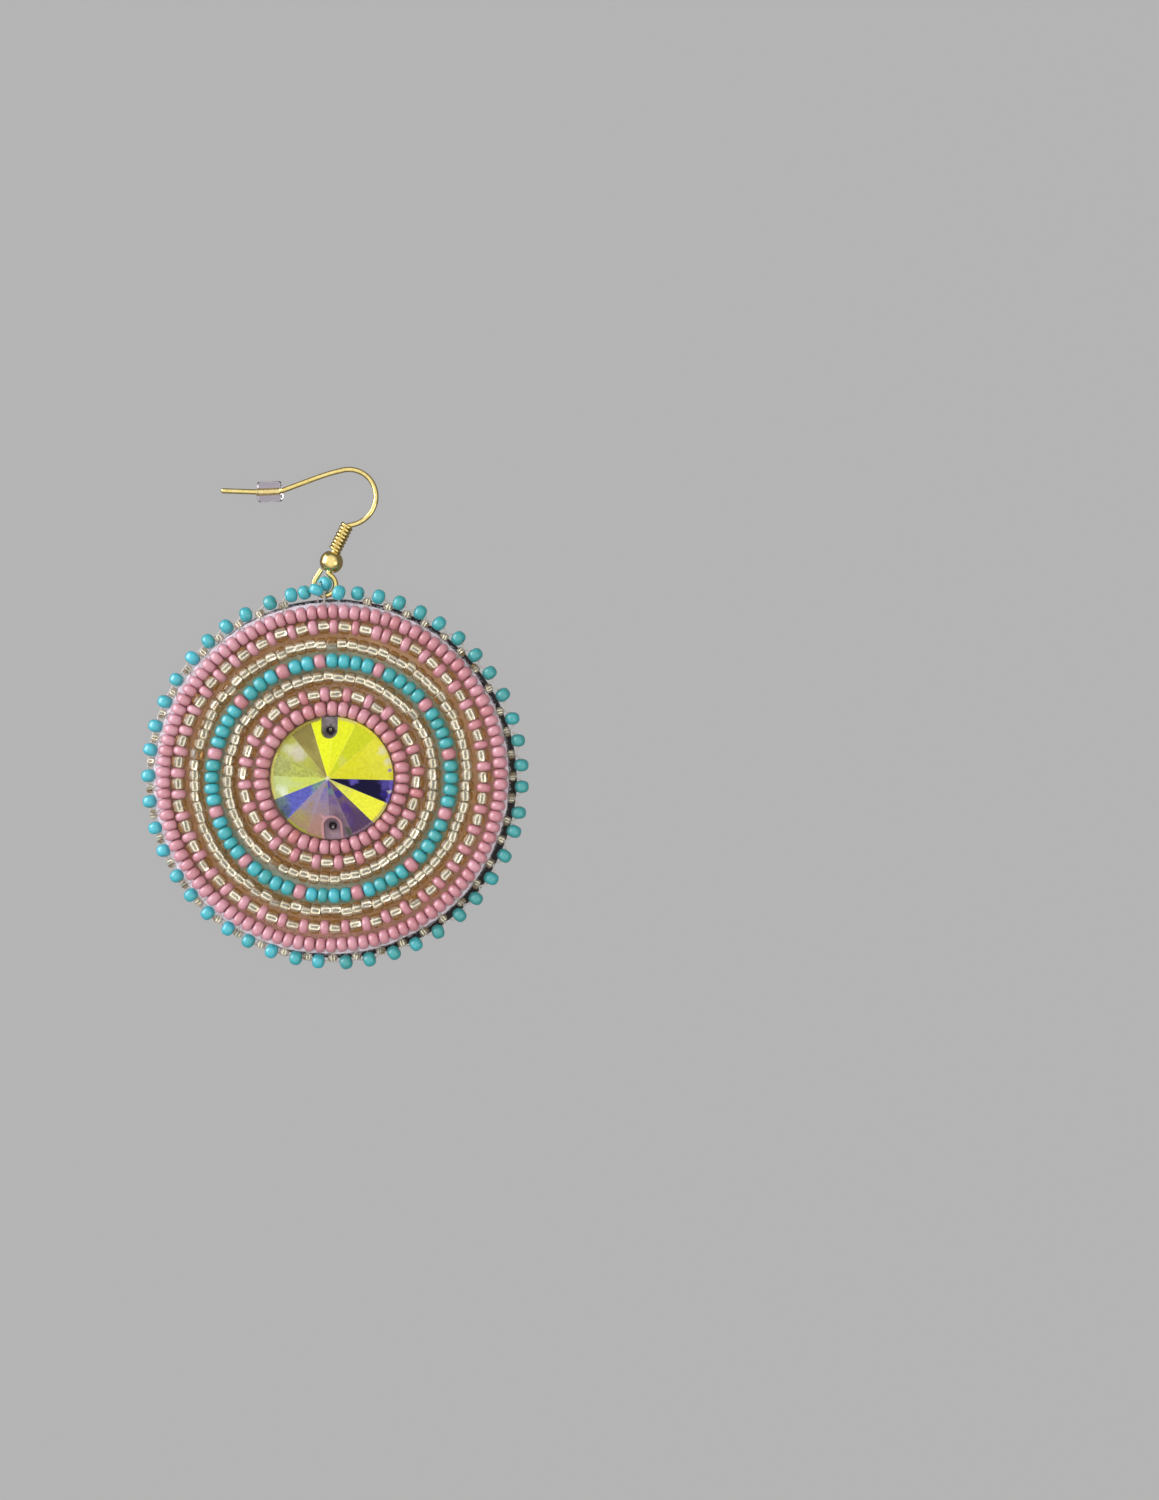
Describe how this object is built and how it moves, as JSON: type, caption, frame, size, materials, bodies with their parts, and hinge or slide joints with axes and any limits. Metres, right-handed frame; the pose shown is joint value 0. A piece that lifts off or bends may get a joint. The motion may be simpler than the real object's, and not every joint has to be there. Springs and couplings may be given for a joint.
{
  "type": "beaded earring",
  "caption": "Flat round beadwork drop earring with a pointed faceted centre stone, a picot bead edge and a fish hook ear wire with a clear stopper.",
  "frame": {"origin": "middle of the suede's back face, on the surface that the earring lies on", "axes": "+Z out of the beaded face, +Y from the disc towards the ear hook, +X to the right seen from the front"},
  "size_m": [0.056, 0.0734, 0.0072],
  "materials": {
    "suede_back": "napped suede, matte",
    "felt": "stiff felt, matte",
    "stone_glass": "polished and coated, facets of several colours",
    "pink_glass": "opaque, polished",
    "turquoise_glass": "opaque, polished",
    "gold_glass": "transparent amber, lined with silver",
    "beading_thread": "pale nylon, slightly glossy",
    "gold_plate": "polished gold plating",
    "clear_silicone": "clear, smooth"
  },
  "bodies": {
    "root": {"backing": "suede_back", "foundation": "felt", "stone": "stone_glass", "bead_row_1": "pink_glass", "bead_row_2": "pink_glass", "bead_row_3": "gold_glass", "bead_row_4": "turquoise_glass", "bead_row_5": "gold_glass", "bead_row_6": "pink_glass", "bead_row_7": "pink_glass", "edge_beads": "turquoise_glass", "loop_bead": "turquoise_glass", "hanger_thread": "beading_thread", "ear_hook": "gold_plate", "hook_ball": "gold_plate", "hook_coil": "gold_plate", "ear_wire_stopper": "clear_silicone"}
  },
  "joints": []
}
